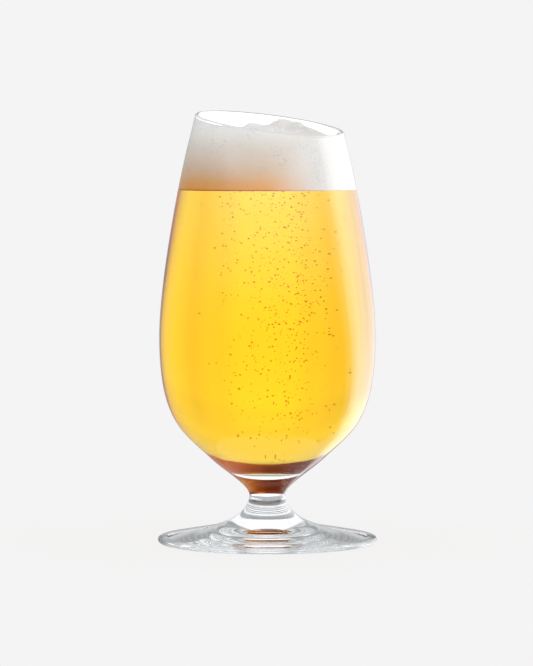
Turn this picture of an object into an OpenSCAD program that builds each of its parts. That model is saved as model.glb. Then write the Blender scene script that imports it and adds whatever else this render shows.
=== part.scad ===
// Stemmed beer glass with a slanted mouth, filled with lager under a domed head of foam.
// All sizes are in millimetres. The origin is the middle of the foot on the table, +Z is up,
// and the low side of the slanted mouth faces +X.

/* [Mouth] */
// Height of the highest point of the lip above the table
lip_top = 155.2; // [150:0.2:170]
// Outside diameter of the bowl at the middle of the mouth
mouth_d = 53.2; // [48:0.2:60]
// Slant of the mouth, in degrees
mouth_tilt = 10; // [0:0.5:14]
// Lean of the wall towards the axis at the mouth, in degrees
lip_lean = 14; // [8:0.5:18]
// How far the melted lip stands out from the wall on each side
lip_swell = 0.1; // [0.05:0.05:0.3]
// Straight stretch of wall below the lowest point of the lip
lip_straight = 2; // [1:0.5:6]

/* [Bowl] */
// Outside diameter of the bowl at its widest
belly_d = 77.6; // [72:0.2:84]
// Height of the widest part above the table
belly_z = 74; // [68:0.5:82]
// Thickness of the bowl's wall
wall = 1.2; // [0.9:0.1:2]
// Outside diameter where the bowl turns in towards the stem
heel_d = 40.6; // [36:0.2:46]
// Height of that turn above the table
heel_z = 30.2; // [27:0.2:34]
// Slope of the outside at the turn, in degrees from level
heel_slope = 43.5; // [38:0.5:50]
// Thickness of the glass at the turn
heel_wall = 5.9; // [5:0.1:6.8]
// Height of the bottom of the well, inside the bowl
well_z = 28.2; // [27:0.1:29.4]

/* [Stem and foot] */
// Diameter of the stem at its thinnest
stem_d = 12.9; // [10.1:0.2:16.1]
// Height of the thinnest part of the stem
stem_z = 16.9; // [15.5:0.2:18.3]
// Diameter of the foot
foot_d = 78.8; // [66:0.2:90]
// Thickness of the foot at its round edge
foot_edge = 2; // [1.6:0.1:3]
// Slope of the foot's upper side, in degrees from level
foot_slope = 10.5; // [8:0.5:13]
// Diameter where the foot's upper side begins to rise to the stem
hub_d = 46; // [40:0.5:52]
// Width of the flat ring under the foot that meets the table
ring_w = 2.4; // [1.5:0.1:4]
// Height of the shallow hollow under the middle of the foot
hollow_h = 2.2; // [1:0.1:3]

/* [Drink] */
// Drop from the lowest point of the lip to the foam's edge at the wall
foam_drop = 2.9; // [1:0.1:8]
// Rise of the foam's crown above its edge
foam_crown = 6; // [3:0.1:7]
// Depth of the foam at the wall
foam_h = 16.5; // [8:0.5:40]
// Gap between the drink and the glass
drink_gap = 0.1; // [0.05:0.05:0.3]

/* [Hidden] */
$fn = 96;

// Straight pieces in each drawn curve
bowl_steps = 16;
turn_steps = 10;
// How far a curve keeps each end's direction, as a share of its height or width
shoulder_hold = [0.28, 0.24];
belly_hold = [0.70, 0.31];
stem_hold = [0.52, 0.27];
hub_hold = [0.60, 0.48];
well_hold = [0.26, 0.20];
crown_hold = [0.25, 0.60];

glass_color = [0.80, 0.90, 0.94, 0.35];
beer_color = [0.96, 0.62, 0.08, 0.9];
foam_color = [0.99, 0.96, 0.88];

// The mouth: a plane through the leaning wall leaves an ellipse, whose middle is off the axis
lip_r = wall / 2 + lip_swell;
lean = tan(lip_lean);
slant = tan(mouth_tilt);
wall_mid = mouth_d / 2 - wall / cos(lip_lean) / 2;
skew = lean * slant;
lip_half_x = wall_mid / (1 - skew * skew);
lip_half_y = wall_mid / sqrt(1 - skew * skew);
lip_x = wall_mid * skew / (1 - skew * skew);
mouth_z = lip_top - lip_r - slant * (lip_half_x - lip_x);
lip_low = mouth_z - slant * (lip_half_x + lip_x) + lip_r;

// Turning points of the outside, each as radius and height
shoulder_z = lip_low - 2 * lip_r - lip_straight;
shoulder = [mouth_d / 2 + lean * (mouth_z - shoulder_z), shoulder_z];
belly = [belly_d / 2, belly_z];
heel = [heel_d / 2, heel_z];
waist = [stem_d / 2, stem_z];
edge_r = foot_edge / 2;
edge = [foot_d / 2 - edge_r, edge_r];
foot_top = edge + edge_r * [sin(foot_slope), cos(foot_slope)];
hub = [hub_d / 2, foot_top[1] + tan(foot_slope) * (foot_top[0] - hub_d / 2)];
rim_end = [mouth_d / 2 - lean * (lip_top - mouth_z), lip_top];

// Heights of the drink
foam_edge_z = lip_low - foam_drop;
beer_z = foam_edge_z - foam_h;

// A point at share t of the curve from a to d, which leaves a towards b and reaches d from c
function bezier(a, b, c, d, t) =
    pow(1 - t, 3) * a + 3 * pow(1 - t, 2) * t * b + 3 * (1 - t) * t * t * c + pow(t, 3) * d;

// The curve's direction at that point
function heading(a, b, c, d, t) =
    pow(1 - t, 2) * (b - a) + 2 * (1 - t) * t * (c - b) + t * t * (d - c);

// The curve drawn in the given number of pieces, moved to its right by a depth
// that grows from d0 at its start to d1 at its end
function drawn(p, steps, d0 = 0, d1 = 0) = [
    for (i = [0:steps])
        let (t = i / steps, h = heading(p[0], p[1], p[2], p[3], t), u = h / norm(h))
        bezier(p[0], p[1], p[2], p[3], t) + (d0 + (d1 - d0) * t * t) * [u[1], -u[0]]
];

function reversed(p) = [for (i = [len(p) - 1:-1:0]) p[i]];

// Each curve by its ends, the directions there and how far it keeps them
function curve(a, u, b, v, hold, size) =
    [a, a + u * hold[0] * size, b - v * hold[1] * size, b];

up = [0, 1];
level = [1, 0];
into_heel = [-cos(heel_slope), -sin(heel_slope)];
foot_down = [cos(foot_slope), -sin(foot_slope)];
shoulder_curve = curve(
    shoulder, [sin(lip_lean), -cos(lip_lean)], belly, -up, shoulder_hold, shoulder_z - belly_z
);
belly_curve = curve(belly, -up, heel, into_heel, belly_hold, belly_z - heel_z);
stem_curve = curve(heel, into_heel, waist, -up, stem_hold, heel_z - stem_z);
hub_curve = curve(waist, -up, hub, foot_down, hub_hold, stem_z - hub[1]);

// The inside of the bowl, a wall's depth behind the outside and a gap further for the drink
function well_start(gap) =
    heel + (heel_wall + gap) * [-sin(heel_slope), cos(heel_slope)];
function well_curve(gap) = curve(
    well_start(gap), into_heel, [0, well_z + gap], -level, well_hold, 2 * well_start(gap)[0]
);
function inside(gap) = concat(
    [rim_end - level * (wall + gap) / cos(lip_lean)],
    drawn(shoulder_curve, bowl_steps, wall + gap, wall + gap),
    drawn(belly_curve, bowl_steps, wall + gap, heel_wall + gap),
    drawn(well_curve(gap), turn_steps)
);

// The half-round edge of the foot, from the ring it stands on to its upper side
edge_arc = [
    for (a = [-90:15:90 - foot_slope - 5]) edge + edge_r * [cos(a), sin(a)],
    foot_top
];

under_curve = curve(
    [0, hollow_h], level, [edge[0] - ring_w, 0], foot_down, [0.4, 0.3], edge[0] - ring_w
);

outside = concat(
    drawn(under_curve, turn_steps),
    edge_arc,
    reversed(drawn(hub_curve, turn_steps)),
    reversed(drawn(stem_curve, turn_steps)),
    reversed(drawn(belly_curve, bowl_steps)),
    reversed(drawn(shoulder_curve, bowl_steps)),
    [rim_end]
);

// Everything above the slanted plane of the mouth
module above_mouth() {
    reach = 2 * mouth_d;
    translate([0, 0, mouth_z])
        rotate([0, mouth_tilt, 0])
            translate([-reach / 2, -reach / 2, 0])
                cube([reach, reach, reach]);
}

// The melted lip, a round bead that follows the ellipse of the mouth
module lip_bead() {
    translate([lip_x, 0, mouth_z - slant * lip_x])
        rotate([0, mouth_tilt, 0])
            scale([lip_half_x / cos(mouth_tilt) / lip_half_y, 1, 1])
                rotate_extrude()
                    translate([lip_half_y, 0])
                        circle(r = lip_r);
}

// The space that the drink fills, a gap inside the wall
module drink_section() {
    polygon(concat(inside(drink_gap), [[0, lip_top]]));
}

module glass() {
    color(glass_color) {
        difference() {
            rotate_extrude() polygon(concat(outside, inside(0)));
            above_mouth();
        }
        lip_bead();
    }
}

module beer() {
    color(beer_color)
        rotate_extrude()
            intersection() {
                drink_section();
                square([belly_d, beer_z]);
            }
}

module foam_head() {
    brim = [mouth_d / 2 + lean * (mouth_z - foam_edge_z), foam_edge_z];
    crown = [0, foam_edge_z + foam_crown];
    dome = curve(brim, [-cos(35), sin(35)], crown, -level, crown_hold, brim[0]);
    color(foam_color)
        rotate_extrude()
            intersection() {
                drink_section();
                polygon(concat([[0, beer_z], [belly_d, beer_z], [belly_d, foam_edge_z]],
                    drawn(dome, turn_steps)));
            }
}

glass();
beer();
foam_head();
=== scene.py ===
import math
import random

import bpy
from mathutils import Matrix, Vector, noise


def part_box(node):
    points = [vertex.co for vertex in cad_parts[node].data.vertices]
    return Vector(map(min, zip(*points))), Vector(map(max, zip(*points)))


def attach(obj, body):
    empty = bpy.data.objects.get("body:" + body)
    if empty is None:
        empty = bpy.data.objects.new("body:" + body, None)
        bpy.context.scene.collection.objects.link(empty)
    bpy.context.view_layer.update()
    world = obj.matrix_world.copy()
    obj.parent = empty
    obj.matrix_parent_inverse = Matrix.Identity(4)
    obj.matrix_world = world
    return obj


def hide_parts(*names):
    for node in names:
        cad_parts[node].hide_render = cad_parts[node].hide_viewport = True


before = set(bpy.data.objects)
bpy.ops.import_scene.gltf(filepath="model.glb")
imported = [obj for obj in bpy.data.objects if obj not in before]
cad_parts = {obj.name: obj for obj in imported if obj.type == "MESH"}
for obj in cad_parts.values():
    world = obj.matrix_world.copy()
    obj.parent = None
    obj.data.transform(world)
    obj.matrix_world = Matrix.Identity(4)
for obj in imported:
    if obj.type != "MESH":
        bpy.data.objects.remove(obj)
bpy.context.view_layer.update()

# Glass: one piece of clear glass, blown into a thin bowl over a short solid stem and a round foot.
# Its half section is drawn as a chain of curves that ends in the melted round lip. It is spun, and then
# the upper wall is drawn up or down, so that the lip follows the slanted mouth.
glass_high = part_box("glass")[1]
beer_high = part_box("beer")[1]
foam_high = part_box("foam_head")[1]

wall = 0.0012
lip_r = 0.0007
mouth_tilt = math.radians(10)
lip_lean = math.radians(14)
mouth_r = 0.0266
belly = Vector((0.0388, 0.074))
heel = Vector((0.0203, 0.0302))
heel_slope = math.radians(43.5)
heel_wall = 0.0059
well_z = 0.0282
waist = Vector((0.00645, 0.0169))
edge_r = 0.001
foot_slope = math.radians(10.5)
hub_r = 0.023
ring_w = 0.0024
hollow_h = 0.0022
shoulder_z = 0.14262

lean = math.tan(lip_lean)
slant = math.tan(mouth_tilt)
middle_r = mouth_r - wall / math.cos(lip_lean) / 2
mouth_z = glass_high.z - lip_r - slant * middle_r / (1 + lean * slant)

up = Vector((0, 1))
out = Vector((1, 0))
into_heel = Vector((-math.cos(heel_slope), -math.sin(heel_slope)))
foot_down = Vector((math.cos(foot_slope), -math.sin(foot_slope)))
shoulder = Vector((mouth_r + lean * (mouth_z - shoulder_z), shoulder_z))
edge = Vector((glass_high.x - edge_r, edge_r))
foot_top = edge + edge_r * Vector((math.sin(foot_slope), math.cos(foot_slope)))
hub = Vector((hub_r, foot_top.y + math.tan(foot_slope) * (foot_top.x - hub_r)))
lip_middle = Vector((middle_r, mouth_z))
wall_up = Vector((-math.sin(lip_lean), math.cos(lip_lean)))
wall_out = Vector((wall_up.y, -wall_up.x))
lip_low_angle = -math.acos(wall / 2 / lip_r)
lip_turn = math.pi - 2 * lip_low_angle
lip_steps = 16
lip_angles = [lip_low_angle + lip_turn * i / lip_steps for i in range(lip_steps + 1)]
lip = [lip_middle + lip_r * (math.cos(a) * wall_out + math.sin(a) * wall_up) for a in lip_angles]
wall_steps = 14
upper_wall = [lip[0].lerp(shoulder, i / wall_steps) for i in range(1, wall_steps)]
inner_shoulder = shoulder - wall * wall_out
inner_upper_wall = [lip[-1].lerp(inner_shoulder, i / wall_steps) for i in range(1, wall_steps)]


def curve(start, leaving, end, arriving, hold, size):
    """Both ends of a curve, with how far it keeps the direction that it has there."""
    return (start, start + leaving * hold[0] * size, end - arriving * hold[1] * size, end)


def drawn(curve_points, steps, depth=0.0, end_depth=None):
    """Points along the curve, moved to its right by a depth that grows towards its end."""
    a, b, c, d = curve_points
    end_depth = depth if end_depth is None else end_depth
    points = []
    for i in range(steps + 1):
        t = i / steps
        s = 1 - t
        point = s ** 3 * a + 3 * s * s * t * b + 3 * s * t * t * c + t ** 3 * d
        way = (s * s * (b - a) + 2 * s * t * (c - b) + t * t * (d - c)).normalized()
        points.append(point + (depth + (end_depth - depth) * t * t) * Vector((way.y, -way.x)))
    return points


shoulder_curve = curve(shoulder, Vector((math.sin(lip_lean), -math.cos(lip_lean))), belly, -up,
                       (0.28, 0.24), shoulder_z - belly.y)
belly_curve = curve(belly, -up, heel, into_heel, (0.70, 0.31), belly.y - heel.y)
stem_curve = curve(heel, into_heel, waist, -up, (0.52, 0.27), heel.y - waist.y)
hub_curve = curve(waist, -up, hub, foot_down, (0.60, 0.48), waist.y - hub.y)
under_curve = curve(Vector((0, hollow_h)), out, Vector((edge.x - ring_w, 0)), foot_down,
                    (0.4, 0.3), edge.x - ring_w)
bowl_steps = 40
well_steps = 24
stem_steps = 48
hub_steps = 64
under_steps = 48


def inside(gap):
    """The inner side of the bowl from the mouth down to the axis, a gap in from the glass."""
    start = heel + (heel_wall + gap) * Vector((-math.sin(heel_slope), math.cos(heel_slope)))
    well = curve(start, into_heel, Vector((0, well_z + gap)), -out, (0.26, 0.20), 2 * start.x)
    return (
        [p - gap * wall_out for p in inner_upper_wall]
        + drawn(shoulder_curve, bowl_steps, wall + gap)
        + drawn(belly_curve, bowl_steps, wall + gap, heel_wall + gap)[1:]
        + drawn(well, well_steps)[1:]
    )


edge_angles = [math.radians(a) for a in range(-90, 78, 12)]
edge_arc = [edge + edge_r * Vector((math.cos(a), math.sin(a))) for a in edge_angles]
outside = (
    drawn(under_curve, under_steps)
    + edge_arc
    + [foot_top]
    + drawn(hub_curve, hub_steps)[::-1]
    + drawn(stem_curve, stem_steps)[::-1][1:]
    + drawn(belly_curve, bowl_steps)[::-1][1:]
    + drawn(shoulder_curve, bowl_steps)[::-1][1:]
    + upper_wall[::-1]
    + lip
)


def spin_section(name, points, steps=192):
    """Draws half a section from one corner to the next and spins it round the upright axis."""
    bpy.ops.object.select_all(action="DESELECT")
    bpy.ops.mesh.primitive_plane_add(size=0.001, location=(points[0].x, 0, points[0].y))
    piece = bpy.context.object
    piece.name = name
    bpy.ops.object.transform_apply(location=True, rotation=False, scale=False)
    bpy.ops.object.mode_set(mode="EDIT")
    bpy.ops.mesh.merge(type="CENTER")
    for here, there in zip(points, points[1:]):
        step = (there.x - here.x, 0, there.y - here.y)
        bpy.ops.mesh.extrude_vertices_move(TRANSFORM_OT_translate={"value": step})
    bpy.ops.mesh.select_all(action="SELECT")
    bpy.ops.mesh.spin(steps=steps, angle=2 * math.pi, center=(0, 0, 0), axis=(0, 0, 1))
    bpy.ops.mesh.select_all(action="SELECT")
    bpy.ops.mesh.remove_doubles(threshold=1e-6)
    bpy.ops.mesh.normals_make_consistent(inside=False)
    return piece


glass = spin_section("blown_glass", outside + inside(0))
bpy.ops.mesh.bisect(plane_co=(0, 0, beer_high.z), plane_no=(0, 0, 1))
bpy.ops.object.mode_set(mode="OBJECT")


def mouth_drop(x, radius):
    """How far the slanted mouth lies below its middle height, on the side where a point is."""
    side = slant * x / radius
    return side * middle_r / (1 - side * lean)


hair = 0.00001
for vertex in glass.data.vertices:
    p = vertex.co
    if p.z > shoulder_z + hair:
        radius = math.hypot(p.x, p.y)
        drop = mouth_drop(p.x, radius) * min(1, (p.z - shoulder_z) / (lip[0].y - shoulder_z))
        grown = 1 + lean * drop / radius
        vertex.co = Vector((p.x * grown, p.y * grown, p.z - drop))
bpy.ops.object.shade_smooth()

glass_ior = 1.5
clear_glass = bpy.data.materials.new("clear blown glass")
clear_glass.use_nodes = True
nodes, links = clear_glass.node_tree.nodes, clear_glass.node_tree.links
shader = nodes["Principled BSDF"]
shader.inputs["Base Color"].default_value = (0.97, 0.985, 1, 1)
shader.inputs["Roughness"].default_value = 0.0
shader.inputs["IOR"].default_value = glass_ior
shader.inputs["Transmission Weight"].default_value = 1.0
coords = nodes.new("ShaderNodeTexCoord")
waves = nodes.new("ShaderNodeTexNoise")
waves.inputs["Scale"].default_value = 45
waves.inputs["Detail"].default_value = 1
ripple = nodes.new("ShaderNodeBump")
ripple.inputs["Strength"].default_value = 0.06
ripple.inputs["Distance"].default_value = 0.0002
links.new(coords.outputs["Object"], waves.inputs["Vector"])
links.new(waves.outputs["Fac"], ripple.inputs["Height"])
links.new(ripple.outputs["Normal"], shader.inputs["Normal"])


def pass_light(material, tint):
    """Lets light reach what the glass holds: shadow and diffuse rays go straight through, tinted."""
    nodes, links = material.node_tree.nodes, material.node_tree.links
    light_path = nodes.new("ShaderNodeLightPath")
    either = nodes.new("ShaderNodeMath")
    either.operation = "MAXIMUM"
    straight = nodes.new("ShaderNodeBsdfTransparent")
    straight.inputs["Color"].default_value = tint
    mixed = nodes.new("ShaderNodeMixShader")
    links.new(light_path.outputs["Is Shadow Ray"], either.inputs[0])
    links.new(light_path.outputs["Is Diffuse Ray"], either.inputs[1])
    links.new(either.outputs["Value"], mixed.inputs["Fac"])
    links.new(nodes["Principled BSDF"].outputs["BSDF"], mixed.inputs[1])
    links.new(straight.outputs["BSDF"], mixed.inputs[2])
    links.new(mixed.outputs["Shader"], nodes["Material Output"].inputs["Surface"])


pass_light(clear_glass, (0.97, 0.98, 0.98, 1))


def value_range(nodes, low, high, to_low=0.0, to_high=1.0, smooth=False):
    """A node that turns the range from low to high into another one."""
    node = nodes.new("ShaderNodeMapRange")
    if smooth:
        node.interpolation_type = "SMOOTHSTEP"
    node.inputs["From Min"].default_value = low
    node.inputs["From Max"].default_value = high
    node.inputs["To Min"].default_value = to_low
    node.inputs["To Max"].default_value = to_high
    return node


# Where beer wets the glass, light bends only by the step between the two, 1.50 to 1.34. The glass's
# inner side has that step there, and the skin of the beer has none. A haze of bubbles too fine to
# model clings to the same side under the foam.
beer_ior = 1.34
haze_z = 0.08
haze_full_z = 0.138
haze_share = 0.1
wet_glass = clear_glass.copy()
wet_glass.name = "glass wetted by beer"
wet_glass.node_tree.nodes["Principled BSDF"].inputs["IOR"].default_value = glass_ior / beer_ior
wetted = inside(0)[::-1]
nodes, links = wet_glass.node_tree.nodes, wet_glass.node_tree.links
coords = nodes.new("ShaderNodeTexCoord")
spot = nodes.new("ShaderNodeSeparateXYZ")
haze = value_range(nodes, haze_z, haze_full_z, to_high=haze_share, smooth=True)
fine_gas = nodes.new("ShaderNodeBsdfDiffuse")
fine_gas.inputs["Color"].default_value = (0.95, 0.95, 0.9, 1)
hazy = nodes.new("ShaderNodeMixShader")
surface = nodes["Material Output"].inputs["Surface"]
links.new(coords.outputs["Object"], spot.inputs["Vector"])
links.new(spot.outputs["Z"], haze.inputs["Value"])
links.new(haze.outputs["Result"], hazy.inputs["Fac"])
links.new(surface.links[0].from_socket, hazy.inputs[1])
links.new(fine_gas.outputs["BSDF"], hazy.inputs[2])
links.new(hazy.outputs["Shader"], surface)


def bowl_radius(z):
    """Radius of the bowl's inner side at a height."""
    for lower, upper in zip(wetted, wetted[1:]):
        if lower.y <= z <= upper.y:
            return lower.x + (upper.x - lower.x) * (z - lower.y) / (upper.y - lower.y)
    return 0


glass.data.materials.append(clear_glass)
glass.data.materials.append(wet_glass)
for face in glass.data.polygons:
    spot = face.center
    if spot.z < beer_high.z and abs(math.hypot(spot.x, spot.y) - bowl_radius(spot.z)) < wall / 4:
        face.material_index = 1
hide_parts("glass")
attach(glass, "root")

# Beer: the golden lager that fills the bowl. It wets the glass, so its side reaches a little way
# into the wall, and its level top lies under the foam.
wetting = 0.00015
beer = spin_section("lager", [Vector((0, mouth_z))] + inside(-wetting))
bpy.ops.mesh.select_all(action="SELECT")
bpy.ops.mesh.bisect(plane_co=(0, 0, beer_high.z), plane_no=(0, 0, 1), clear_outer=True, use_fill=True)
bpy.ops.mesh.select_all(action="SELECT")
bpy.ops.mesh.normals_make_consistent(inside=False)
bpy.ops.object.mode_set(mode="OBJECT")
bpy.ops.object.shade_smooth_by_angle(angle=math.radians(40))

lager = bpy.data.materials.new("golden lager")
lager.use_nodes = True
nodes, links = lager.node_tree.nodes, lager.node_tree.links
shader = nodes["Principled BSDF"]
shader.inputs["Base Color"].default_value = (1, 1, 1, 1)
shader.inputs["Roughness"].default_value = 0.0
shader.inputs["IOR"].default_value = 1.0
shader.inputs["Transmission Weight"].default_value = 1.0
body = nodes.new("ShaderNodeVolumeAbsorption")
body.inputs["Color"].default_value = (0.997, 0.849, 0.0, 1)
body.inputs["Density"].default_value = 62
links.new(body.outputs["Volume"], nodes["Material Output"].inputs["Volume"])
pass_light(lager, (1, 0.82, 0.5, 1))
beer.data.materials.append(lager)
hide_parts("beer")
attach(beer, "root")

# Bubbles: fine beads of gas that rise through the beer. Their places are drawn at random, and kept
# most often in a column a little to the right of the axis, as the camera sees it.
camera_azimuth = math.radians(45)
toward_camera = Vector((math.sin(camera_azimuth), -math.cos(camera_azimuth), 0))
camera_right = Vector((math.cos(camera_azimuth), math.sin(camera_azimuth), 0))
bubble_count = 760
bubble_r = 0.00015
bubble_r_spread = 0.0002
bubble_low_z = 0.036
bubble_rise = beer_high.z - 0.0375
wall_gap = 0.0006
column_middle, column_width, column_share = 0.17, 0.22, 0.7
stray_reach, stray_share = 0.42, 0.3
random.seed(7)
bpy.ops.object.select_all(action="DESELECT")
bpy.ops.mesh.primitive_ico_sphere_add(subdivisions=1, radius=0.0002, location=(0, 0, 0.06))
bubbles = bpy.context.object
bubbles.name = "rising_bubbles"
bpy.ops.object.transform_apply(location=True, rotation=False, scale=False)
bpy.ops.object.mode_set(mode="EDIT")
made = 0
while made < bubble_count:
    height = bubble_low_z + bubble_rise * random.random() ** 0.8
    swing = random.uniform(-math.pi, math.pi)
    depth = random.random() ** 0.5
    side = camera_right * math.sin(swing) + toward_camera * math.cos(swing)
    radius = (bowl_radius(height) - wall_gap) * depth
    across = side.dot(camera_right) * depth
    column = column_share * math.exp(-((across - column_middle) / column_width) ** 2)
    crowd = stray_share * (abs(across) < stray_reach) + column
    if random.random() > crowd:
        continue
    size = bubble_r + bubble_r_spread * random.random() ** 2
    place = side * radius + Vector((0, 0, height))
    bpy.ops.mesh.primitive_ico_sphere_add(subdivisions=1, radius=size, location=place)
    made += 1
bpy.ops.object.mode_set(mode="OBJECT")
bpy.ops.object.shade_smooth()

gas = bpy.data.materials.new("beads of gas")
gas.use_nodes = True
shader = gas.node_tree.nodes["Principled BSDF"]
shader.inputs["Base Color"].default_value = (0.85, 0.62, 0.14, 1)
shader.inputs["Roughness"].default_value = 0.05
shader.inputs["IOR"].default_value = 1.25
shader.inputs["Transmission Weight"].default_value = 1.0
bubbles.data.materials.append(gas)
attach(bubbles, "root")

# Foam: the head that floats on the beer, a soft mass of fine bubbles. It has sunk to a low dome with
# a few lumps, and a film of it still clings to one side of the bowl, up to the lip.
foam_crown = 0.006
foam_edge_z = foam_high.z - foam_crown
film = 0.0007
film_foot_rise = 0.0004
film_below_lip = 0.0003
film_top_z = mouth_z + slant * mouth_r - film_below_lip
lump_room = 0.0012
dome_slope = math.radians(30)
dome_steps = 44


def wall_point(z, gap):
    """A point of the bowl's straight upper wall, a gap in from its inner side."""
    return Vector((mouth_r - lean * (z - mouth_z) - (wall + gap) / math.cos(lip_lean), z))


film_foot = wall_point(foam_edge_z + film_foot_rise, film * 2)
crown = Vector((0, foam_high.z - lump_room))
dome_curve = curve(film_foot, Vector((-math.cos(dome_slope), math.sin(dome_slope))), crown, -out,
                   (0.25, 0.60), film_foot.x)
film_steps = 10
film_z = [foam_edge_z + (film_top_z - foam_edge_z) * i / film_steps for i in range(film_steps)]
film_outer = [wall_point(z, -wetting) for z in film_z]
film_inner = [wall_point(film_z[i], film * (2 - i / film_steps)) for i in range(1, film_steps)]
below_film = 0.0005
side = [p for p in inside(-wetting) if p.y < foam_edge_z - below_film]
foam = spin_section(
    "foam_head_top",
    side[::-1]
    + film_outer
    + [wall_point(film_top_z, film / 2)]
    + film_inner[::-1]
    + drawn(dome_curve, dome_steps),
)
bpy.ops.mesh.select_all(action="SELECT")
foam_sink = 0.0002
bpy.ops.mesh.bisect(
    plane_co=(0, 0, beer_high.z - foam_sink), plane_no=(0, 0, 1), clear_inner=True, use_fill=True
)
bpy.ops.object.mode_set(mode="OBJECT")

lumps = [  # to the right of the axis, away from the camera, height, reach
    (-0.0053, 0.004, 0.0026, 0.0036),
    (0.0035, 0.006, 0.0030, 0.0050),
    (0.0105, 0.003, 0.0028, 0.0062),
    (-0.0125, 0.001, 0.0012, 0.0050),
    (0.0010, -0.011, 0.0014, 0.0070),
    (-0.0110, -0.012, 0.0010, 0.0050),
    (0.0160, -0.006, 0.0014, 0.0050),
    (-0.0090, 0.014, 0.0012, 0.0050),
    (0.0080, 0.015, 0.0014, 0.0050),
]
lump_fade = 0.003
past_foot = 0.0001


def film_end(turn, x):
    """Height where the film ends: at the lip on the camera's side, low and ragged on the far one."""
    near = min(1, max(0, (math.cos(turn) + 0.45) / 0.35))
    near = near * near * (3 - 2 * near)
    at_lip = mouth_z - slant * x - 0.0002 + 0.0001 * math.sin(9 * turn)
    ragged = foam_edge_z + 0.0016 + 0.0007 * math.sin(5 * turn + 1) + 0.0003 * math.sin(17 * turn)
    return ragged + (at_lip - ragged) * near


def lump_rise(p, right, back):
    """How far the foam stands up over its smooth dome: the lumps, and a fine roughness."""
    rise = sum(h * math.exp(-((right - u) ** 2 + (back - v) ** 2) / reach ** 2)
               for u, v, h, reach in lumps)
    rough = 0.0007 * noise.noise(p * 260) + 0.0004 * noise.noise(p * 900)
    return rise + rough


for vertex in foam.data.vertices:
    p = vertex.co
    if p.z <= foam_edge_z:
        continue
    spot = Vector((p.x, p.y, 0))
    right, back = spot.dot(camera_right), -spot.dot(toward_camera)
    if spot.length > film_foot.x + past_foot - lean * (p.z - foam_edge_z):
        end = film_end(math.atan2(right, -back), p.x)
        z = foam_edge_z + (p.z - foam_edge_z) * (end - foam_edge_z) / (film_top_z - foam_edge_z)
        grown = (spot.length + lean * (p.z - z)) / spot.length
        vertex.co = Vector((p.x * grown, p.y * grown, z))
    else:
        vertex.co.z += lump_rise(p, right, back) * min(1, (film_foot.x - spot.length) / lump_fade)
bpy.ops.object.mode_set(mode="EDIT")
bpy.ops.mesh.select_all(action="SELECT")
bpy.ops.mesh.normals_make_consistent(inside=False)
bpy.ops.object.mode_set(mode="OBJECT")
bpy.ops.object.shade_smooth_by_angle(angle=math.radians(50))

froth = bpy.data.materials.new("white froth")
froth.use_nodes = True
nodes, links = froth.node_tree.nodes, froth.node_tree.links
shader = nodes["Principled BSDF"]
shader.inputs["Roughness"].default_value = 0.65
shader.inputs["Subsurface Weight"].default_value = 0.5
shader.inputs["Subsurface Radius"].default_value = (1.0, 0.8, 0.6)
shader.inputs["Subsurface Scale"].default_value = 0.003
coords = nodes.new("ShaderNodeTexCoord")
spot = nodes.new("ShaderNodeSeparateXYZ")
links.new(coords.outputs["Object"], spot.inputs["Vector"])
# Colour painted by height over the beer line: a painted amber glow of the light that comes up through the
# beer, strongest just over the beer line. The foam's underside and a thin band along the beer line get
# painted shade, nearly black. Foam wet with beer is a little amber too, but the depth of these tints is
# painted light.
glow_and_shade_ramp = nodes.new("ShaderNodeValToRGB")
glow_rise = 0.024
glow_height = value_range(nodes, beer_high.z, beer_high.z + glow_rise)
links.new(spot.outputs["Z"], glow_height.inputs["Value"])
links.new(glow_height.outputs["Result"], glow_and_shade_ramp.inputs["Fac"])
glow_and_shade_ramp.color_ramp.elements[0].color = (0.17, 0.055, 0.004, 1)
glow_and_shade_ramp.color_ramp.elements[1].color = (0.98, 0.97, 0.94, 1)
glow_and_shade_tints = {
    0.008: (0.8, 0.26, 0.01, 1),
    0.03: (0.8, 0.33, 0.03, 1),
    0.1: (0.77, 0.38, 0.09, 1),
    0.33: (0.74, 0.55, 0.40, 1),
    0.62: (0.83, 0.75, 0.67, 1),
    0.85: (0.95, 0.91, 0.87, 1),
}
for at, tint in glow_and_shade_tints.items():
    glow_and_shade_ramp.color_ramp.elements.new(at).color = tint
# Painted light: across to the camera's right, the painted amber glow fades out, and the foam there takes
# a flat grey that is painted shade on its far right edge.
across = nodes.new("ShaderNodeVectorMath")
across.operation = "DOT_PRODUCT"
across.inputs[1].default_value = camera_right
links.new(coords.outputs["Object"], across.inputs[0])
shade_from, shade_to = -0.003, 0.021
right_side_shade = value_range(nodes, shade_from, shade_to, smooth=True)
links.new(across.outputs["Value"], right_side_shade.inputs["Value"])
painted_foam_tint = nodes.new("ShaderNodeMix")
painted_foam_tint.data_type = "RGBA"
painted_foam_tint.inputs["B"].default_value = (0.76, 0.74, 0.72, 1)
links.new(right_side_shade.outputs["Result"], painted_foam_tint.inputs["Factor"])
links.new(glow_and_shade_ramp.outputs["Color"], painted_foam_tint.inputs["A"])
cells = nodes.new("ShaderNodeTexVoronoi")
cells.inputs["Scale"].default_value = 900
links.new(coords.outputs["Object"], cells.inputs["Vector"])
specks = value_range(nodes, 0.1, 0.35, to_low=0.75)
links.new(cells.outputs["Distance"], specks.inputs["Value"])
patches = nodes.new("ShaderNodeTexNoise")
patches.inputs["Scale"].default_value = 120
links.new(coords.outputs["Object"], patches.inputs["Vector"])
some = value_range(nodes, 0.45, 0.62)
links.new(patches.outputs["Fac"], some.inputs["Value"])
speckled = nodes.new("ShaderNodeMix")
speckled.inputs["A"].default_value = 1.0
links.new(some.outputs["Result"], speckled.inputs["Factor"])
links.new(specks.outputs["Result"], speckled.inputs["B"])
shaded = nodes.new("ShaderNodeVectorMath")
shaded.operation = "SCALE"
links.new(painted_foam_tint.outputs["Result"], shaded.inputs["Vector"])
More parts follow.
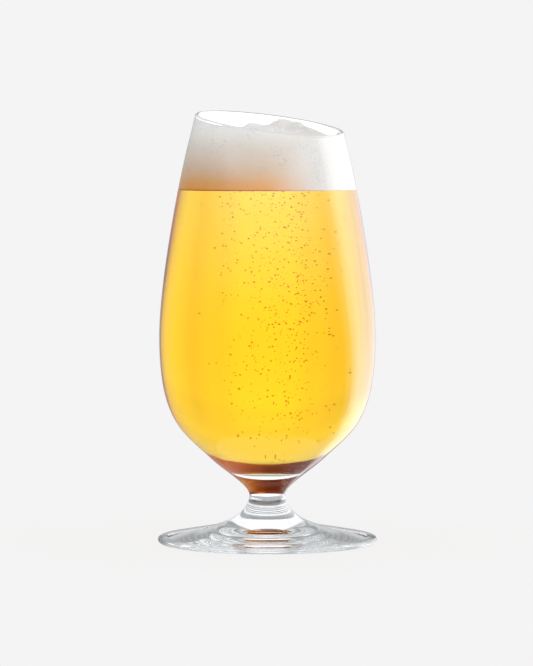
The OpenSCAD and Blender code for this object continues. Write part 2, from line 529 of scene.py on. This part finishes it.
links.new(speckled.outputs["Result"], shaded.inputs["Scale"])
links.new(shaded.outputs["Vector"], shader.inputs["Base Color"])
pits = nodes.new("ShaderNodeBump")
pits.inputs["Strength"].default_value = 0.4
pits.inputs["Distance"].default_value = 0.0003
links.new(cells.outputs["Distance"], pits.inputs["Height"])
links.new(pits.outputs["Normal"], shader.inputs["Normal"])
foam.data.materials.append(froth)
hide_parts("foam_head")
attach(foam, "root")

# Floor: a plain pale disc that keeps the glass's soft shadow and fades out into the backdrop. Seen
# through the foot it shows a painted shadow: grey, and darkest right under the stem.
floor_r = 0.5
floor_z = -0.0002
shadow_core_r, shadow_edge_r = 0.005, 0.026
fade_from, fade_to = 0.06, 0.2
bpy.ops.object.select_all(action="DESELECT")
bpy.ops.mesh.primitive_circle_add(vertices=96, radius=floor_r, fill_type="NGON", location=(0, 0, floor_z))
floor = bpy.context.object
floor.name = "floor"
bpy.ops.object.transform_apply()
pale = bpy.data.materials.new("pale floor")
pale.use_nodes = True
nodes, links = pale.node_tree.nodes, pale.node_tree.links
shader = nodes["Principled BSDF"]
shader.inputs["Base Color"].default_value = (0.9, 0.9, 0.9, 1)
shader.inputs["Roughness"].default_value = 1.0
shader.inputs["Specular IOR Level"].default_value = 0.0
light_path = nodes.new("ShaderNodeLightPath")
through = nodes.new("ShaderNodeMix")
through.data_type = "RGBA"
through.inputs["A"].default_value = (0.93, 0.93, 0.93, 1)
# Painted shadow for rays seen through the glass: nearly black right under the stem, blue-grey further out
# under the foot.
painted_shadow_under_stem = nodes.new("ShaderNodeMix")
painted_shadow_under_stem.data_type = "RGBA"
painted_shadow_under_stem.inputs["A"].default_value = (0.05, 0.05, 0.05, 1)
painted_shadow_under_stem.inputs["B"].default_value = (0.43, 0.47, 0.49, 1)
painted_shadow_fade = value_range(nodes, shadow_core_r, shadow_edge_r, smooth=True)
glow = nodes.new("ShaderNodeEmission")
links.new(light_path.outputs["Is Transmission Ray"], through.inputs["Factor"])
links.new(through.outputs["Result"], glow.inputs["Color"])
glowing = nodes.new("ShaderNodeMixShader")
glowing.inputs["Fac"].default_value = 0.85
coords = nodes.new("ShaderNodeTexCoord")
distance = nodes.new("ShaderNodeVectorMath")
distance.operation = "LENGTH"
fade = value_range(nodes, fade_from, fade_to, smooth=True)
nothing = nodes.new("ShaderNodeBsdfTransparent")
mixed = nodes.new("ShaderNodeMixShader")
links.new(coords.outputs["Object"], distance.inputs[0])
links.new(distance.outputs["Value"], fade.inputs["Value"])
links.new(distance.outputs["Value"], painted_shadow_fade.inputs["Value"])
links.new(painted_shadow_fade.outputs["Result"], painted_shadow_under_stem.inputs["Factor"])
links.new(painted_shadow_under_stem.outputs["Result"], through.inputs["B"])
links.new(shader.outputs["BSDF"], glowing.inputs[1])
links.new(glow.outputs["Emission"], glowing.inputs[2])
links.new(fade.outputs["Result"], mixed.inputs["Fac"])
links.new(glowing.outputs["Shader"], mixed.inputs[1])
links.new(nothing.outputs["BSDF"], mixed.inputs[2])
links.new(mixed.outputs["Shader"], nodes["Material Output"].inputs["Surface"])
floor.data.materials.append(pale)
floor.visible_glossy = False

# Backdrop: a pale room. The camera sees it plain. Through the glass it is dark beyond the sheets of
# cloth, but for the ground and the camera's side, and what shines mirrors its upper walls the most.
backdrop = 0.905
scene = bpy.context.scene
scene.world = bpy.data.worlds.new("studio")
scene.world.use_nodes = True
nodes, links = scene.world.node_tree.nodes, scene.world.node_tree.links
sky = nodes["Background"]
coords = nodes.new("ShaderNodeTexCoord")
direction = nodes.new("ShaderNodeSeparateXYZ")
walls = nodes.new("ShaderNodeValToRGB")
for at, share in ((0.3, 0.1), (0.45, 0.12), (0.5, 0.15), (0.58, 0.3), (0.7, 0.7)):
    walls.color_ramp.elements.new(at).color = (share, share, share, 1)
walls.color_ramp.elements[0].color = (0.1, 0.1, 0.1, 1)
walls.color_ramp.elements[-1].color = (0.7, 0.7, 0.7, 1)
rise = value_range(nodes, -1, 1)
ahead = nodes.new("ShaderNodeVectorMath")
ahead.operation = "DOT_PRODUCT"
ahead.inputs[1].default_value = -toward_camera
far_wall = value_range(nodes, 0.4, 0.9, smooth=True)
bright = nodes.new("ShaderNodeMix")
bright.inputs["B"].default_value = 0.42
near_wall = value_range(nodes, -0.3, 0.2, to_low=0.85, to_high=0.3)
ground = value_range(nodes, -0.25, -0.05, to_low=0.55, to_high=0.0)
behind_glass = nodes.new("ShaderNodeMath")
behind_glass.operation = "MAXIMUM"
light_path = nodes.new("ShaderNodeLightPath")
through = nodes.new("ShaderNodeMix")
shiny = nodes.new("ShaderNodeMix")
seen = nodes.new("ShaderNodeMix")
shiny.inputs["A"].default_value = 0.78
seen.inputs["B"].default_value = backdrop
links.new(coords.outputs["Generated"], direction.inputs["Vector"])
links.new(direction.outputs["Z"], rise.inputs["Value"])
links.new(rise.outputs["Result"], walls.inputs["Fac"])
links.new(light_path.outputs["Is Transmission Ray"], through.inputs["Factor"])
links.new(shiny.outputs["Result"], through.inputs["A"])
links.new(coords.outputs["Generated"], ahead.inputs[0])
links.new(ahead.outputs["Value"], far_wall.inputs["Value"])
links.new(ahead.outputs["Value"], near_wall.inputs["Value"])
links.new(direction.outputs["Z"], ground.inputs["Value"])
links.new(near_wall.outputs["Result"], behind_glass.inputs[0])
links.new(ground.outputs["Result"], behind_glass.inputs[1])
links.new(behind_glass.outputs["Value"], through.inputs["B"])
links.new(far_wall.outputs["Result"], bright.inputs["Factor"])
links.new(walls.outputs["Color"], bright.inputs["A"])
links.new(bright.outputs["Result"], shiny.inputs["B"])
links.new(light_path.outputs["Is Glossy Ray"], shiny.inputs["Factor"])
links.new(through.outputs["Result"], seen.inputs["A"])
links.new(light_path.outputs["Is Camera Ray"], seen.inputs["Factor"])
links.new(seen.outputs["Result"], sky.inputs["Color"])

# Light: curved sheets of white cloth lit from behind, each a stretch of wall round the glass that
# thins out across it and up it, and one soft lamp for the foam.


def share_ramp(nodes, stops):
    """A grey ramp through the stops, each a place from 0 to 1 and a share."""
    ramp = nodes.new("ShaderNodeValToRGB")
    ramp.color_ramp.interpolation = "EASE"
    elements = ramp.color_ramp.elements
    elements[0].position, elements[1].position = stops[0][0], stops[-1][0]
    elements[0].color = (stops[0][1],) * 3 + (1,)
    elements[1].color = (stops[-1][1],) * 3 + (1,)
    for place, share in stops[1:-1]:
        elements.new(place).color = (share, share, share, 1)
    return ramp


even_from, even_to = 0.14, 0.36


def light_sheet(name, turn, spread, radius, low, high, across, upward, peak, twist=0.0, even=0.0):
    """A curved sheet, turned to the right from the camera, that is as solid as both its ramps say.
    Twist turns the ramp across for each metre up, and even is how much of it is lost by even_to."""
    bpy.ops.object.select_all(action="DESELECT")
    middle = camera_azimuth - math.pi / 2 + math.radians(turn)
    half = math.radians(spread / 2)
    a = middle - half
    start = Vector((math.cos(a), math.sin(a), 0)) * radius
    bpy.ops.mesh.primitive_plane_add(size=0.001, location=(start.x, start.y, low))
    sheet = bpy.context.object
    sheet.name = name
    bpy.ops.object.transform_apply(location=True, rotation=False, scale=False)
    bpy.ops.object.mode_set(mode="EDIT")
    bpy.ops.mesh.merge(type="CENTER")
    bpy.ops.mesh.extrude_vertices_move(TRANSFORM_OT_translate={"value": (0, 0, high - low)})
    bpy.ops.mesh.select_all(action="SELECT")
    bpy.ops.mesh.spin(steps=32, angle=math.radians(spread), center=(0, 0, 0), axis=(0, 0, -1))
    bpy.ops.object.mode_set(mode="OBJECT")
    cloth = bpy.data.materials.new(name)
    cloth.use_nodes = True
    nodes, links = cloth.node_tree.nodes, cloth.node_tree.links
    nodes.remove(nodes["Principled BSDF"])
    coords = nodes.new("ShaderNodeTexCoord")
    turned = nodes.new("ShaderNodeVectorRotate")
    turned.rotation_type = "Z_AXIS"
    turned.inputs["Angle"].default_value = -middle
    place = nodes.new("ShaderNodeSeparateXYZ")
    angle = nodes.new("ShaderNodeMath")
    angle.operation = "ARCTAN2"
    twisted = nodes.new("ShaderNodeMath")
    twisted.operation = "MULTIPLY_ADD"
    twisted.inputs[1].default_value = math.radians(twist)
    along = value_range(nodes, -half, half)
    height = value_range(nodes, low, high)
    across_share = share_ramp(nodes, across)
    upward_share = share_ramp(nodes, upward)
    evening = value_range(nodes, even_from, even_to, to_high=even, smooth=True)
    evened = nodes.new("ShaderNodeMix")
    evened.data_type = "RGBA"
    evened.inputs["B"].default_value = (1, 1, 1, 1)
    share = nodes.new("ShaderNodeMath")
    share.operation = "MULTIPLY"
    nothing = nodes.new("ShaderNodeBsdfTransparent")
    shine = nodes.new("ShaderNodeEmission")
    shine.inputs["Strength"].default_value = peak
    mixed = nodes.new("ShaderNodeMixShader")
    links.new(coords.outputs["Object"], turned.inputs["Vector"])
    links.new(turned.outputs["Vector"], place.inputs["Vector"])
    links.new(place.outputs["Y"], angle.inputs[0])
    links.new(place.outputs["X"], angle.inputs[1])
    links.new(place.outputs["Z"], twisted.inputs[0])
    links.new(angle.outputs["Value"], twisted.inputs[2])
    links.new(twisted.outputs["Value"], along.inputs["Value"])
    links.new(along.outputs["Result"], across_share.inputs["Fac"])
    links.new(place.outputs["Z"], height.inputs["Value"])
    links.new(height.outputs["Result"], upward_share.inputs["Fac"])
    links.new(place.outputs["Z"], evening.inputs["Value"])
    links.new(evening.outputs["Result"], evened.inputs["Factor"])
    links.new(across_share.outputs["Color"], evened.inputs["A"])
    links.new(evened.outputs["Result"], share.inputs[0])
    links.new(upward_share.outputs["Color"], share.inputs[1])
    links.new(share.outputs["Value"], mixed.inputs["Fac"])
    links.new(nothing.outputs["BSDF"], mixed.inputs[1])
    links.new(shine.outputs["Emission"], mixed.inputs[2])
    links.new(mixed.outputs["Shader"], nodes["Material Output"].inputs["Surface"])
    sheet.data.materials.append(cloth)
    sheet.visible_camera = False
    sheet.visible_shadow = False
    return sheet


back_sheet = light_sheet(
    "back sheet", 180, 120, 0.9, -0.15, 0.78,
    ((0.0, 0.5), (0.058, 0.68), (0.117, 0.82), (0.2, 0.83), (0.258, 0.76), (0.308, 0.68), (0.392, 0.82),
     (0.458, 0.98), (0.5, 1.0), (0.542, 0.97), (0.6, 0.81), (0.667, 0.67), (0.717, 0.65), (0.758, 0.56),
     (0.808, 0.42), (0.858, 0.28), (0.933, 0.22), (1.0, 0.2)),
    ((0.0, 0.6), (0.11, 1.0), (0.28, 1.0), (0.35, 0.9), (0.45, 0.79), (0.6, 0.73), (0.9, 0.73),
     (1.0, 0.6)),
    1.57, even=0.85,
)
back_sheet.visible_glossy = False
back_sheet.visible_diffuse = False
right_sheet = light_sheet(
    "right sheet", 114, 104, 0.8, -1.2, 1.2,
    ((0.0, 0.0), (0.23, 0.0), (0.325, 0.22), (0.4, 0.74), (0.485, 1.0), (0.606, 0.85), (0.745, 0.6),
     (0.882, 0.4), (1.0, 0.3)),
    ((0.0, 0.05), (0.17, 0.08), (0.25, 0.15), (0.33, 0.6), (0.42, 0.87), (0.6, 0.87), (0.67, 0.97),
     (0.75, 0.78), (0.82, 0.4), (1.0, 0.0)),
    4.6, twist=40,
)
right_sheet.visible_transmission = False
right_sheet.visible_diffuse = False
front_sheet = light_sheet(
    "front sheet", 0, 190, 0.9, 0.2, 0.62,
    ((0.0, 0.0), (0.1, 0.35), (0.25, 1.0), (0.75, 1.0), (0.9, 0.6), (1.0, 0.0)),
    ((0.0, 0.0), (0.25, 0.15), (0.5, 0.5), (0.69, 1.0), (0.79, 0.7), (0.9, 0.2), (1.0, 0.0)),
    2.7,
)
front_sheet.visible_transmission = False
front_sheet.visible_diffuse = False
lamp_place = toward_camera * 0.42 + camera_right * 0.9 + Vector((0, 0, 0.25))
lamp_aim = Vector((0, 0, 0.1))
bpy.ops.object.light_add(type="AREA", location=lamp_place)
lamp = bpy.context.object
lamp.name = "soft lamp"
lamp.data.shape = "DISK"
lamp.data.size = 0.5
lamp.data.energy = 2.8
lamp.visible_camera = False
lamp.visible_glossy = False
lamp.visible_transmission = False
lamp.rotation_mode = "QUATERNION"
lamp.rotation_quaternion = (lamp_aim - lamp.location).to_track_quat("-Z", "Y")

# Camera: a long lens a little above the beer line, turned 45 degrees from the side that the mouth
# falls to. It stands level with the foam and looks down at the middle of the glass.
camera_distance = 1.194
camera_z = 0.141
aim_z = 0.07525
bpy.ops.object.camera_add(location=toward_camera * camera_distance + Vector((0, 0, camera_z)))
camera = bpy.context.object
camera.data.lens = 180
camera.data.sensor_width = 36
camera.data.shift_x = -0.0012
aim = Vector((0, 0, aim_z)) - camera.location
camera.rotation_mode = "QUATERNION"
camera.rotation_quaternion = aim.to_track_quat("-Z", "Y")
scene.camera = camera

scene.view_settings.view_transform = "Standard"
scene.cycles.max_bounces = 48
scene.cycles.glossy_bounces = 32
scene.cycles.transmission_bounces = 48
